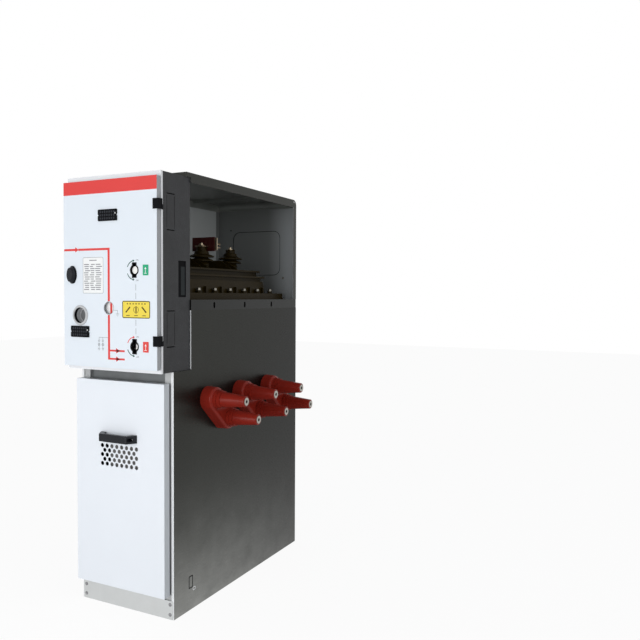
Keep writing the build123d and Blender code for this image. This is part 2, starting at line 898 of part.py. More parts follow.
def twin_bushing(y):
    spacing = 2 * math.hypot(cone_offset_y, cone_offset_z)
    slant = -math.degrees(math.atan2(cone_offset_z, cone_offset_y))
    with BuildPart() as body:
        with BuildSketch(Plane.YZ.offset(side_x)):
            with Locations((y, cone_centre_z)):
                SlotCenterToCenter(spacing, 2 * cone_base_r, rotation=slant)
        extrude(amount=cone_base_depth, taper=cone_base_taper)
        fillet(body.faces().sort_by(Axis.X)[-1].edges(), cone_base_round)
        x = side_x + cone_base_depth
        for radius, length in cone_steps:
            with BuildSketch(Plane.YZ.offset(x)):
                with Locations(*cone_centres(y)):
                    Circle(radius - cone_base_round / 3)
            extrude(amount=length)
            x += length
        with BuildSketch(Plane.YZ.offset(x)):
            with Locations(*cone_centres(y)):
                Circle(cone_root_r - cone_base_round / 3)
        extrude(
            amount=cone_length,
            taper=math.degrees(math.atan2(cone_root_r - cone_base_round / 3 - cone_tip_r, cone_length)),
        )
        fillet(body.faces().group_by(Axis.X)[-1].edges(), cone_tip_round)
        with BuildSketch(Plane.YZ.offset(side_x - cone_stub)):
            with Locations(*cone_centres(y)):
                Circle(cone_stub_r)
        extrude(amount=cone_stub)
        with BuildSketch(Plane.YZ.offset(cone_tip_x - insert_deep)):
            with Locations(*cone_centres(y)):
                Circle(insert_r)
        extrude(amount=insert_deep, mode=Mode.SUBTRACT)
    return body.part


for name, y in zip(("front", "middle", "rear"), phases):
    save(twin_bushing(y), f"twin_bushing_{name}")

with BuildPart() as bushing_inserts:
    for y in phases:
        with BuildSketch(Plane.YZ.offset(cone_tip_x - insert_deep)):
            with Locations(*cone_centres(y)):
                Circle(insert_r)
        extrude(amount=insert_deep + insert_proud)
        with BuildSketch(Plane.YZ.offset(cone_tip_x - insert_deep + insert_floor)):
            with Locations(*cone_centres(y)):
                Circle(insert_bore_r)
        extrude(amount=insert_deep - insert_floor + insert_proud, mode=Mode.SUBTRACT)
save(bushing_inserts.part, "bushing_inserts")

# Switch: two cast shells bolted at their flanges
shell_length = shell_rear_y - shell_front_y
shell_y = (shell_rear_y + shell_front_y) / 2
flange_length = flange_rear_y - flange_front_y
flange_y = (flange_rear_y + flange_front_y) / 2
bolt_x = flange_half_width - boss_inset
bolt_pitch = phase_pitch / 2
first_bolt_y = middle_phase_y - (bolts_each_side - 1) / 2 * bolt_pitch
bolt_rows = [first_bolt_y + i * bolt_pitch for i in range(bolts_each_side)]
bolt_places = [(x, y) for x in (-bolt_x, bolt_x) for y in bolt_rows]


def shell_outline(grow):
    with Locations((0, shell_y)):
        RectangleRounded(2 * (shell_half_width + grow), shell_length + 2 * grow, shell_corner_r + grow)


# Half section of a top pole: a foot, the sheds that droop, and a head
with BuildPart() as top_pole:
    with BuildSketch(Plane.XZ):
        with BuildLine():
            profile = [
                (0, -sheet),
                (pole_foot_r, -sheet),
                (pole_foot_r, shed_thick),
                (pole_stem_r + shed_thick, shed_levels[0][1] - 3 * shed_thick),
            ]
            for shed_r, level in shed_levels:
                profile += [
                    (pole_stem_r, level - shed_thick),
                    (shed_r, level - shed_thick - shed_droop),
                    (shed_r, level - shed_droop),
                    (pole_stem_r + shed_thick, level + shed_thick / 2),
                ]
            profile += [
                (head_r, shed_levels[-1][1] + shed_thick),
                (head_r, pole_height),
                (0, pole_height),
            ]
            Polyline(*profile, close=True)
        make_face()
    revolve(axis=Axis.Z)
    for angle in (0, 90):
        with Locations(Location((0, 0, pole_height), (0, 0, angle))):
            Box(3 * head_r, head_slot[0], 2 * head_slot[1], mode=Mode.SUBTRACT)

with BuildPart() as switch_upper_shell:
    with BuildSketch(Plane.XY.offset(deck_z + flange_plate)):
        with Locations((0, flange_y)):
            RectangleRounded(2 * flange_half_width, flange_length, flange_corner_r)
    extrude(amount=flange_plate)
    with BuildSketch(Plane.XY.offset(flange_top_z)):
        shell_outline(0)
    extrude(amount=wall_height, taper=wall_taper)
    level = flange_top_z + wall_height
    for grow, tall in upper_steps:
        with BuildSketch(Plane.XY.offset(level)):
            shell_outline(grow)
        extrude(amount=tall)
        level += tall
    with BuildSketch(Plane.XY.offset(flange_top_z)):
        with Locations(*bolt_places):
            Circle(boss_r)
    extrude(amount=boss_height)
    for y in bolt_rows[1:-1]:
        block(
            (-bolt_x, bolt_x),
            (y + bolt_pitch / 2 - gusset / 2, y + bolt_pitch / 2 + gusset / 2),
            (flange_top_z, flange_top_z + wall_height / 2),
        )
    for y in (phases[i] + offset_y for i in (0, 1) for offset_y in fin_offsets):
        with BuildSketch(facing_front(y + fin / 2)):
            with BuildLine():
                Polyline(
                    (-fin_foot, shell_top_z - sheet),
                    (fin_foot, shell_top_z - sheet),
                    (fin_crest, shell_top_z + fin_height),
                    (-fin_crest, shell_top_z + fin_height),
                    close=True,
                )
            make_face()
        extrude(amount=fin)
    for y in phases:
        add(top_pole.part.moved(Location((0, y, shell_top_z))))
save(switch_upper_shell.part, "switch_upper_shell")

with BuildPart() as flange_bolts:
    with BuildSketch(Plane.XY.offset(flange_top_z + boss_height)):
        with Locations(*bolt_places):
            Circle(bolt_washer_r)
    extrude(amount=bolt_washer)
    with BuildSketch(Plane.XY.offset(flange_top_z + boss_height + bolt_washer)):
        with Locations(*bolt_places):
            RegularPolygon(bolt_flat / 2, 6, major_radius=False)
    extrude(amount=bolt_head)
save(flange_bolts.part, "flange_bolts")

shell_floor_z = deck_z - lower_depth
with BuildPart() as switch_lower_shell:
    with BuildSketch(Plane.XY.offset(deck_z)):
        with Locations((0, flange_y)):
            RectangleRounded(2 * flange_half_width, flange_length, flange_corner_r)
    extrude(amount=flange_plate)
    with BuildSketch(Plane.XY.offset(deck_z)):
        shell_outline(-lower_inset)
    extrude(amount=-lower_depth, taper=lower_taper)
    fillet(switch_lower_shell.faces().sort_by(Axis.Z)[0].edges(), lower_round)
    with BuildSketch(Plane.XY.offset(shell_floor_z + cup_depth / 4)):
        with Locations(*[(0, y) for y in phases]):
            Circle(cup_r)
    extrude(amount=-(1.25 * cup_depth), taper=cone_base_taper)
    for y in phases:
        block(
            (-(shell_half_width - pad_proud), shell_half_width - pad_proud),
            (y - pad_width / 2, y + pad_width / 2),
            (shell_floor_z - pad_proud, deck_z - pad_width),
        )
    for i in range(end_fins):
        x = (i - (end_fins - 1) / 2) * end_fin_pitch
        block(
            (x - fin / 2, x + fin / 2),
            (shell_rear_y - lower_round, flange_rear_y - fin),
            (deck_z - end_fin_height, deck_z),
        )
save(switch_lower_shell.part, "switch_lower_shell")

with BuildPart() as switch_terminals:
    for y in phases:
        seat_z = head_top_z + (bar_thick if y == middle_phase_y else 0)
        with Locations((0, y, seat_z)):
            Cylinder(washer_r, washer, align=(Align.CENTER, Align.CENTER, Align.MIN))
            Cylinder(stud_r, stud, align=(Align.CENTER, Align.CENTER, Align.MIN))
        with Locations((0, y, shell_floor_z - cup_depth)):
            Cylinder(terminal_r, terminal, align=(Align.CENTER, Align.CENTER, Align.MAX))
save(switch_terminals.part, "switch_terminals")

# Busbar stub: the flat bar with its strap and end clamp, and the sleeve over it
bar_front_y = middle_phase_y + bar_set_back
bar_back_y = bar_front_y + bar_thick
bar_z = head_top_z + bar_rise
clamp_back_y = bar_back_y + clamp_foot
with BuildPart() as busbar_stub:
    block(
        (bar_left_x, bar_right_x),
        (bar_front_y, bar_back_y),
        (bar_z - bar_height / 2, bar_z + bar_height / 2),
    )
    block(
        (-strap_width / 2, strap_width / 2),
        (middle_phase_y - strap_width / 2, bar_front_y),
        (head_top_z, head_top_z + bar_thick),
    )
    block(
        (sleeve_right_x + sleeve_wall, bar_right_x),
        (bar_back_y, clamp_back_y),
        (bar_z - clamp_height / 2, bar_z - clamp_height / 2 + clamp_plate),
    )
    with BuildSketch(facing_front(clamp_back_y)):
        with Locations((bar_right_x - clamp_nut_r, bar_z)):
            Circle(clamp_bolt_r)
    extrude(amount=clamp_foot)
    with BuildSketch(facing_front(clamp_back_y)):
        with Locations((bar_right_x - clamp_nut_r, bar_z)):
            RegularPolygon(clamp_nut_r, 6)
    extrude(amount=clamp_foot / 4)
save(busbar_stub.part, "busbar_stub")

with BuildPart() as busbar_sleeve:
    with BuildSketch(Plane.YZ.offset(bar_left_x - sleeve_wall)):
        with Locations((bar_front_y + bar_thick / 2, bar_z)):
            Rectangle(bar_thick + 2 * sleeve_wall, bar_height + 2 * sleeve_wall)
    extrude(amount=sleeve_right_x - bar_left_x + sleeve_wall)
    block(
        (bar_left_x, sleeve_right_x),
        (bar_front_y, bar_back_y),
        (bar_z - bar_height / 2, bar_z + bar_height / 2),
        mode=Mode.SUBTRACT,
    )
    block(
        (-strap_width / 2, strap_width / 2),
        (bar_front_y - sleeve_wall, bar_front_y),
        (head_top_z, head_top_z + bar_thick),
        mode=Mode.SUBTRACT,
    )
save(busbar_sleeve.part, "busbar_sleeve")

# Mechanism: two plates joined by spacers, with the spring on two studs between them
plate_low = main_z - plate_low_margin
plate_high = earthing_z + plate_high_margin
plate_right = shaft_x + plate_side_margin
plate_centre = ((plate_left + plate_right) / 2, (plate_low + plate_high) / 2)
with BuildPart() as mechanism_plates:
    for y in (plate_front_y + plate_thick, plate_rear_y + plate_thick):
        with BuildSketch(facing_front(y)):
            with Locations(plate_centre):
                RectangleRounded(plate_right - plate_left, plate_high - plate_low, spacer_r)
            with Locations(*shaft_centres):
                Circle(shaft_r + pin_clearance, mode=Mode.SUBTRACT)
            with Locations((0, window_z)):
                Circle(arbor_r + pin_clearance, mode=Mode.SUBTRACT)
        extrude(amount=plate_thick)
save(mechanism_plates.part, "mechanism_plates")

spring_y = (plate_front_y + plate_rear_y) / 2
spring_z = main_z + spring_rise
spring_length = spring_turns * spring_pitch
with BuildPart() as mechanism_spacers:
    with BuildSketch(facing_front(plate_rear_y)):
        with Locations(plate_centre):
            with GridLocations(
                plate_right - plate_left - 2 * spacer_margin,
                plate_high - plate_low - 2 * spacer_margin,
                2,
                2,
            ):
                Circle(spacer_r)
    extrude(amount=plate_rear_y - plate_front_y - plate_thick)
    with BuildSketch(facing_front(plate_rear_y)):
        with Locations(
            (spring_x, spring_z - hanger_r),
            (spring_x, spring_z + spring_length + hanger_r),
        ):
            Circle(hanger_r)
    extrude(amount=plate_rear_y - spring_y + spring_core_r)
save(mechanism_spacers.part, "mechanism_spacers")

spring_plane = Plane(
    origin=(spring_x, spring_y, spring_z), x_dir=(1, 0, 0), z_dir=(0, -1, 0)
)
with BuildPart() as drive_spring:
    with BuildSketch(spring_plane):
        with BuildLine():
            Polyline(
                (0, 0),
                (spring_core_r, 0),
                (spring_core_r, spring_length),
                (0, spring_length),
                close=True,
            )
        make_face()
        with Locations(*[(spring_core_r, (i + 0.5) * spring_pitch) for i in range(spring_turns)]):
            Circle(spring_wire_r)
    revolve(axis=Axis((spring_x, spring_y, spring_z), (0, 0, 1)))
save(drive_spring.part, "drive_spring")


def lever_shaft(z):
    """A shaft with a square socket for the lever and a cam disc between the plates."""
    with BuildPart() as body:
        with BuildSketch(facing_front(plate_rear_y + plate_thick - seat_gap)):
            with Locations((shaft_x, z)):
                Circle(shaft_r)
        extrude(amount=plate_rear_y + plate_thick - seat_gap - door_front_y - shaft_set_back)
        with BuildSketch(facing_front(spring_y + shaft_cam_width / 2)):
            with Locations((shaft_x, z)):
                Circle(shaft_cam_r)
            with Locations((shaft_x, z + shaft_cam_r)):
                Circle(shaft_r)
        extrude(amount=shaft_cam_width)
        with BuildSketch(facing_front(door_front_y + shaft_set_back + shaft_socket)):
            with Locations((shaft_x, z)):
                Rectangle(shaft_square, shaft_square)
        extrude(amount=shaft_socket, mode=Mode.SUBTRACT)
    return body.part


save(lever_shaft(main_z), "main_shaft")
save(lever_shaft(earthing_z), "earthing_shaft")

disc_front_y = door_front_y + disc_set_back
arbor_end_y = plate_front_y + 10 * plate_thick
with BuildPart() as position_disc:
    with BuildSketch(facing_front(arbor_end_y)):
        with Locations((0, window_z)):
            Circle(arbor_r)
    extrude(amount=arbor_end_y - disc_front_y - disc_plate / 2)
    with BuildSketch(facing_front(disc_front_y + disc_plate)):
        with Locations((0, window_z)):
            Circle(window_r + 3 * disc_plate)
    extrude(amount=disc_plate)
save(position_disc.part, "position_disc")
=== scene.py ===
"""Finish, printed marks, lights and camera for the load break switch cabinet."""

import math

import bmesh
import bpy
from mathutils import Matrix, Vector


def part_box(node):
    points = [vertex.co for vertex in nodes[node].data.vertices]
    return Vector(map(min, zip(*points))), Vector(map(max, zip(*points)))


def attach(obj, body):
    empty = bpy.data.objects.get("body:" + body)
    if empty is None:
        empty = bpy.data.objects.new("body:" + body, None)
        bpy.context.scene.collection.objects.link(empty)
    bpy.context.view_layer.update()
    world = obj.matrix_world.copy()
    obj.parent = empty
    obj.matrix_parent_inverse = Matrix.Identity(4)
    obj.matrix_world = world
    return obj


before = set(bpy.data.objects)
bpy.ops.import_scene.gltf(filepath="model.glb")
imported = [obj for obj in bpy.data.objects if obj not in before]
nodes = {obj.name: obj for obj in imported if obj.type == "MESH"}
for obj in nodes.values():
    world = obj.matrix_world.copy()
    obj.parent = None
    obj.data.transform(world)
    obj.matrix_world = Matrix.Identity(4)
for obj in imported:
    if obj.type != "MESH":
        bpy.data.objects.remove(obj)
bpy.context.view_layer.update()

# Camera, in metres and degrees
LENS = 38.82
CAMERA_PLACE = (2.0275, -2.7592, 1.3413)
CAMERA_TURN = (87.96, -0.32, 26.46)

# Marks and small parts, in millimetres
MM = 0.001
MERGE = 1e-7  # metres, under which two corners of a small part are one
PRINT = 0.3  # thickness of a printed mark
LAYER = 0.2  # step from one print to the next on top of it
SHEET = 2  # thickness of the cabinet's sheets
TIGHTEST = 0.2  # smallest corner radius inside a frame

# Places on the mechanism door, in X and Z
KEY_X = 135
KEY_Z = {"earthing": 1438, "main": 1132}
WINDOW = (0, 1285)
PORT = (-156, 1253)


def add_camera():
    data = bpy.data.cameras.new("camera")
    data.sensor_width = 36.0
    data.lens = LENS
    data.clip_end = 100.0
    camera = bpy.data.objects.new("camera", data)
    camera.location = CAMERA_PLACE
    camera.rotation_euler = [math.radians(turn) for turn in CAMERA_TURN]
    bpy.context.scene.collection.objects.link(camera)
    bpy.context.scene.camera = camera
    bpy.context.scene.view_settings.view_transform = "Standard"


# Node helpers
def new_tree(name):
    made = bpy.data.materials.new(name)
    made.use_nodes = True
    tree = made.node_tree
    tree.nodes.clear()
    shader = tree.nodes.new("ShaderNodeBsdfPrincipled")
    output = tree.nodes.new("ShaderNodeOutputMaterial")
    tree.links.new(shader.outputs["BSDF"], output.inputs["Surface"])
    return made, tree, shader


def maths(tree, operation, *values, clamp=False):
    """The result of a Math node, whose values are numbers or other nodes' outputs."""
    node = tree.nodes.new("ShaderNodeMath")
    node.operation = operation
    node.use_clamp = clamp
    for socket, value in zip(node.inputs, values):
        if isinstance(value, bpy.types.NodeSocket):
            tree.links.new(value, socket)
        else:
            socket.default_value = value
    return node.outputs[0]


def coordinates(tree, kind):
    return tree.nodes.new("ShaderNodeTexCoord").outputs[kind]


def placed(tree, stretch=(1, 1, 1)):
    """Coordinates in metres, stretched per axis before a texture reads them."""
    mapping = tree.nodes.new("ShaderNodeMapping")
    mapping.inputs["Scale"].default_value = stretch
    tree.links.new(coordinates(tree, "Object"), mapping.inputs["Vector"])
    return mapping.outputs["Vector"]


def apart(tree, vector):
    """The X, Y and Z outputs of a vector."""
    node = tree.nodes.new("ShaderNodeSeparateXYZ")
    tree.links.new(vector, node.inputs[0])
    return node.outputs


def noise(tree, vector, scale, detail=4.0):
    texture = tree.nodes.new("ShaderNodeTexNoise")
    texture.inputs["Scale"].default_value = scale
    texture.inputs["Detail"].default_value = detail
    texture.inputs["Roughness"].default_value = 0.55
    tree.links.new(vector, texture.inputs["Vector"])
    return texture.outputs["Fac"]


def ranged(tree, value, low, high, start=0.3, stop=0.7):
    """Takes start to low and stop to high; by default these are the reach of noise."""
    node = tree.nodes.new("ShaderNodeMapRange")
    node.inputs["From Min"].default_value = start
    node.inputs["From Max"].default_value = stop
    node.inputs["To Min"].default_value = low
    node.inputs["To Max"].default_value = high
    tree.links.new(value, node.inputs["Value"])
    return node.outputs["Result"]


def mixed(tree, factor, dark, light):
    """A colour between two others, each a colour or another node's output."""
    node = tree.nodes.new("ShaderNodeMix")
    node.data_type = "RGBA"
    tree.links.new(factor, node.inputs["Factor"])
    for socket, colour in ((node.inputs[6], dark), (node.inputs[7], light)):
        if isinstance(colour, tuple):
            socket.default_value = (*colour, 1.0)
        else:
            tree.links.new(colour, socket)
    return node.outputs[2]


def dimmed(tree, colour, factor):
    node = tree.nodes.new("ShaderNodeVectorMath")
    node.operation = "SCALE"
    tree.links.new(colour, node.inputs[0])
    tree.links.new(factor, node.inputs["Scale"])
    return node.outputs[0]


def bumped(tree, shader, height, distance):
    node = tree.nodes.new("ShaderNodeBump")
    node.inputs["Distance"].default_value = distance
    tree.links.new(height, node.inputs["Height"])
    tree.links.new(node.outputs["Normal"], shader.inputs["Normal"])


def scaled(colour, factor):
    return tuple(min(1.0, channel * factor) for channel in colour)


# Shares, from 0 to 1, by place or by the way a face looks
def to_the_side(tree):
    """1 on faces that look left or right, 0 on the others."""
    across = maths(tree, "ABSOLUTE", apart(tree, coordinates(tree, "Normal"))["X"])
    return ranged(tree, across, 0.0, 1.0, 0.5, 0.8)


def to_the_front(tree):
    """1 on faces that look forward, 0 on the others."""
    return ranged(tree, apart(tree, coordinates(tree, "Normal"))["Y"], 0.0, 1.0, -0.4, -0.8)


def inward(tree):
    """1 on faces that look into the cabinet, 0 on those that look out of it."""
    from_middle = tree.nodes.new("ShaderNodeVectorMath")
    from_middle.operation = "MULTIPLY_ADD"
    tree.links.new(coordinates(tree, "Object"), from_middle.inputs[0])
    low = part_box("side_sheet_left")[0]
    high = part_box("roof_sheet")[1]
    for axis in range(3):
        half = (high[axis] - low[axis]) / 2
        from_middle.inputs[1].default_value[axis] = 1 / half
        from_middle.inputs[2].default_value[axis] = -(high[axis] + low[axis]) / 2 / half
    outward = tree.nodes.new("ShaderNodeVectorMath")
    outward.operation = "DOT_PRODUCT"
    tree.links.new(from_middle.outputs[0], outward.inputs[0])
    tree.links.new(coordinates(tree, "Normal"), outward.inputs[1])
    return ranged(tree, outward.outputs["Value"], 1.0, 0.0, -0.2, 0.1)


def right_end(tree):
    """Rises from 0 to 1 inside the last stretch of the rear wall on the open side."""
    stretch = ranged(tree, apart(tree, placed(tree))["X"], 0.0, 1.0, 0.08, 0.26)
    return maths(tree, "MULTIPLY", stretch, inward(tree))


def seen_rays(tree):
    """1 where the camera, a reflection or clear glass looks straight at a surface, else 0."""
    path = tree.nodes.new("ShaderNodeLightPath")
    total = path.outputs["Is Camera Ray"]
    for ray in ("Is Glossy Ray", "Is Transmission Ray"):
        total = maths(tree, "ADD", total, path.outputs[ray], clamp=True)
    return total


def outside_cabinet(tree):
    """Over 1 on the floor round the cabinet, under 1 on the floor that it encloses."""
    place = apart(tree, placed(tree))
    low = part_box("side_sheet_left")[0]
    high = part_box("side_sheet_right")[1]
    reach = []
    for axis in range(2):
        from_middle = maths(tree, "SUBTRACT", place[axis], (high[axis] + low[axis]) / 2)
        distance = maths(tree, "ABSOLUTE", from_middle)
        reach.append(maths(tree, "DIVIDE", distance, (high[axis] - low[axis]) / 2))
    return maths(tree, "MAXIMUM", *reach)


# Finishes
def surface(
    name,
    colour,
    rough,
    metal=0.0,
    spread=0.06,
    patch=6.0,
    grain=500.0,
    relief=0.00002,
    specular=0.5,
    shaded_sides=None,
):
    """A finish whose colour drifts over patches and whose gloss and relief follow a fine grain.

    Where a side colour is given, faces that look left or right take it, as painted shade.
    """
    made, tree, shader = new_tree(name)
    vector = placed(tree)
    drift = ranged(tree, noise(tree, vector, patch), 0.0, 1.0)
    fine = noise(tree, vector, grain, detail=2.0)
    base = mixed(tree, drift, scaled(colour, 1 - spread), scaled(colour, 1 + spread))
    speck = ranged(tree, fine, 0.0, 1.0)
    speckled = mixed(tree, speck, scaled(colour, 1 - 2 * spread), base)
    # Painted shade: faces that look left or right take a darker colour.
    if shaded_sides:
        speckled = mixed(tree, to_the_side(tree), speckled, shaded_sides)
    tree.links.new(speckled, shader.inputs["Base Color"])
    tree.links.new(ranged(tree, fine, rough - 0.06, rough + 0.06), shader.inputs["Roughness"])
    shader.inputs["Metallic"].default_value = metal
    shader.inputs["Specular IOR Level"].default_value = specular
    bumped(tree, shader, fine, relief)
    return made


def rolled_sheet(name, top, bottom, high, metal=0.9, rough=0.36, painted_light_faces=(), rear_dim=1.0):
    """Coated sheet steel with rolling lines along the depth and a cloudy spangle.

    It is paler below the height high, as a painted reflection of the floor, darker by rear_dim
    towards the rear, as painted shade, and takes paler colours as painted light on chosen faces.
    """
    made, tree, shader = new_tree(name)
    plain = placed(tree)
    place = apart(tree, plain)
    # Painted reflection of the floor: the sheet turns paler towards the bottom.
    floor_reflection_share = maths(tree, "POWER", ranged(tree, place["Z"], 1.0, 0.0, 0.0, high), 2.4)
    lines = noise(tree, placed(tree, (1, 0.02, 1)), 900.0, detail=3.0)
    cloud = noise(tree, plain, 9.0, detail=5.0)
    base = mixed(tree, floor_reflection_share, top, bottom)
    cloudy = mixed(tree, ranged(tree, cloud, 0.0, 0.35), base, scaled(top, 1.25))
    lined = mixed(tree, ranged(tree, lines, 0.0, 0.25), cloudy, scaled(top, 0.8))
    # Painted shade: the sheet darkens towards the rear by rear_dim.
    lined = dimmed(tree, lined, ranged(tree, place["Y"], 1.0, rear_dim, -0.35, 0.45))
    # Painted light: the faces that each share picks out take a paler colour of their own.
    for share, colour in painted_light_faces:
        lined = mixed(tree, share(tree), lined, colour)
    tree.links.new(lined, shader.inputs["Base Color"])
    tree.links.new(ranged(tree, lines, rough - 0.05, rough + 0.06), shader.inputs["Roughness"])
    shader.inputs["Metallic"].default_value = metal
    bumped(tree, shader, lines, 0.00001)
    return made


def framing(name, posts, shaded_lintel, half_opening):
    """Coated posts and, between them, a darker lintel that carries the painted shadow of the box
    above.
    """
    made, tree, shader = new_tree(name)
    plain = placed(tree)
    across = maths(tree, "ABSOLUTE", apart(tree, plain)["X"])
    fine = noise(tree, plain, 500.0, detail=2.0)
    post = mixed(tree, ranged(tree, fine, 0.0, 1.0), scaled(posts, 0.96), posts)
    patches = ranged(tree, noise(tree, plain, 14.0), 0.0, 1.0)
    # Painted shadow: the lintel under the mechanism box is much darker than the posts.
    shaded_beam = mixed(tree, patches, scaled(shaded_lintel, 0.8), shaded_lintel)
    share = ranged(tree, across, 0.0, 1.0, half_opening - 0.001, half_opening)
    tree.links.new(mixed(tree, share, shaded_beam, post), shader.inputs["Base Color"])
    tree.links.new(ranged(tree, fine, 0.38, 0.48), shader.inputs["Roughness"])
    shader.inputs["Metallic"].default_value = 0.6
    bumped(tree, shader, fine, 0.00002)
    return made


# The dark outside of the bay's walls, at the top and at the floor
WALL_TOP = (0.034, 0.035, 0.032)
WALL_BOTTOM = (0.04, 0.041, 0.038)

finishes = {
    "door": surface(
        "door_paint",
        (0.735, 0.79, 0.85),
        0.45,
        spread=0.012,
        grain=700.0,
        # Side faces darker: painted shade.
        shaded_sides=(0.345, 0.36, 0.372),
    ),
    # Lower door: a lighter copy of the door paint, as painted light.
    "cable_door": surface(
        "cable_door_paint_lit",
        (0.79, 0.825, 0.875),
        0.45,
        spread=0.012,
        grain=700.0,
        # Side faces darker: painted shade.
        shaded_sides=(0.52, 0.55, 0.58),
    ),
    "frame": surface("frame_paint", (0.80, 0.81, 0.83), 0.45, spread=0.02, grain=700.0),
    "box": surface(
        "box_paint",
        (0.036, 0.037, 0.040),
        0.55,
        spread=0.24,
        patch=22.0,
        grain=160.0,
        relief=0.00005,
        specular=0.3,
    ),
    "side": rolled_sheet(
        "side_sheet_metal",
        (0.027, 0.028, 0.0245),
        (0.33, 0.335, 0.32),
        0.75,
        rough=0.31,
        # Front-facing returns paler as painted light; the dark top, pale foot and rear_dim are
        # painted reflection and shade.
        painted_light_faces=((to_the_front, (0.52, 0.53, 0.54)),),
        rear_dim=0.36,
    ),
    "deck": surface("deck_sheet", (0.024, 0.025, 0.024), 0.42, metal=0.7, spread=0.1),
    "inner": rolled_sheet(
        "inner_sheet",
        WALL_TOP,
        WALL_BOTTOM,
        1.8,
        metal=0.25,
        rough=0.5,
        # Inside faces paler than the outside: painted light in the shaded bay.
        painted_light_faces=((inward, (0.48, 0.50, 0.50)),),
    ),
    "rear": rolled_sheet(
        "rear_sheet",
        WALL_TOP,
        WALL_BOTTOM,
        1.8,
        metal=0.45,
        rough=0.5,
        # Inside faces paler, and palest near the open side: painted light in the shaded bay.
        painted_light_faces=((inward, (0.20, 0.208, 0.206)), (right_end, (0.46, 0.485, 0.505))),
    ),
    "roof": rolled_sheet(
        "roof_sheet",
        (0.033, 0.034, 0.030),
        (0.035, 0.036, 0.032),
        1.0,
        metal=0.8,
        rough=0.45,
        # Ceiling paler than the dark outer lip: painted light under the roof.
        painted_light_faces=((inward, (0.27, 0.28, 0.265)),),
    ),
    "zinc": surface("zinc", (0.61, 0.625, 0.625), 0.42, metal=0.85, spread=0.05, patch=18.0),
    "plate": surface(
        "mechanism_plate", (0.30, 0.31, 0.31), 0.5, metal=0.5, spread=0.1, patch=16.0
    ),
    # The dark lintel is painted shadow of the mechanism box above it.
    "frame_zinc": framing("frame_zinc", (0.43, 0.44, 0.445), (0.17, 0.18, 0.185), 0.205),
    "epoxy": surface(
        "switch_epoxy", (0.026, 0.017, 0.0035), 0.36, spread=0.2, patch=12.0, specular=0.06
    ),
    "cone": surface(
        "cone_epoxy", (0.25, 0.019, 0.011), 0.22, spread=0.12, patch=10.0, specular=0.11
    ),
    "insert": surface("insert_metal", (0.40, 0.385, 0.35), 0.3, metal=1.0, grain=900.0),
    "brass": surface("terminal_metal", (0.34, 0.28, 0.20), 0.34, metal=1.0),
    "bolt": surface("bolt_metal", (0.22, 0.21, 0.185), 0.32, metal=1.0),
    "sleeve": surface("sleeve_red", (0.06, 0.009, 0.008), 0.45, spread=0.1, specular=0.2),
    "black": surface(
        "black_plastic", (0.006, 0.0065, 0.008), 0.42, spread=0.2, grain=900.0, specular=0.04
    ),
    "charcoal": surface(
        "handle_plastic", (0.011, 0.012, 0.016), 0.3, spread=0.15, specular=0.22
    ),
    "port": surface("port_plastic", (0.52, 0.53, 0.54), 0.35, spread=0.05),
    "white": surface("white_plastic", (0.86, 0.87, 0.87), 0.35, spread=0.02),
    "red_flag": surface("main_flag", (0.74, 0.06, 0.05), 0.45, spread=0.05, specular=0.3),
    "green_flag": surface("earthing_flag", (0.02, 0.38, 0.19), 0.45, spread=0.05, specular=0.3),
    "steel": surface("steel", (0.52, 0.52, 0.53), 0.32, metal=1.0, spread=0.08),
    "spring": surface("spring_steel", (0.10, 0.10, 0.11), 0.35, metal=1.0, spread=0.1),
    "mimic": surface("mimic_red", (0.74, 0.060, 0.055), 0.5, spread=0.04, specular=0.25),
    "yellow": surface("sign_yellow", (0.86, 0.68, 0.08), 0.45, spread=0.04, specular=0.3),
    "pale_ink": surface("pale_ink", (0.28, 0.29, 0.31), 0.55, spread=0.06, specular=0.2),
    "row_ink": surface("row_ink", (0.20, 0.205, 0.22), 0.55, spread=0.08, specular=0.2),
    "sign_ink": surface("sign_ink", (0.09, 0.06, 0.015), 0.55, spread=0.1, specular=0.2),
    "row_ink_dark": surface("row_ink_dark", (0.022, 0.025, 0.032), 0.35, specular=0.2),
    "slot_panel": surface("slot_panel", (0.008, 0.013, 0.015), 0.4, spread=0.2, specular=0.15),
    "olive_ink": surface("olive_ink", (0.045, 0.048, 0.012), 0.55, spread=0.1, specular=0.2),
    "green_ink": surface("green_ink", (0.035, 0.12, 0.09), 0.55, spread=0.1, specular=0.2),
    # Grey pad behind the vents: painted light for the lit inside seen through them.
    "vent_painted_light": surface("vent_painted_light_grey", (0.30, 0.29, 0.28), 0.9, spread=0.1, grain=300.0),
    "port_floor": surface("port_floor", (0.16, 0.165, 0.17), 0.4, spread=0.1),
    "dull_steel": surface("dull_steel", (0.30, 0.30, 0.31), 0.4, metal=0.9, spread=0.1),
    # Plated finish of the earthing shaft and its shutter, also used for the painted glint in the
    # main keyhole.
    "plated_and_glint": surface("plated_end_and_glint", (0.86, 0.86, 0.84), 0.4, metal=0.25, spread=0.04),
    # Pale edge strips: painted light on the side sheets' front returns, which lie in shade.
    "painted_light_edge": surface("painted_light_edge", (0.86, 0.87, 0.88), 0.5, spread=0.03),
    # Black laid where there is only shade: painted shade in gaps, holes, bores, grooves and
    # slots.
    "painted_shade": surface("painted_shade_black", (0.006, 0.006, 0.007), 0.6, spread=0.2, specular=0.04),
}

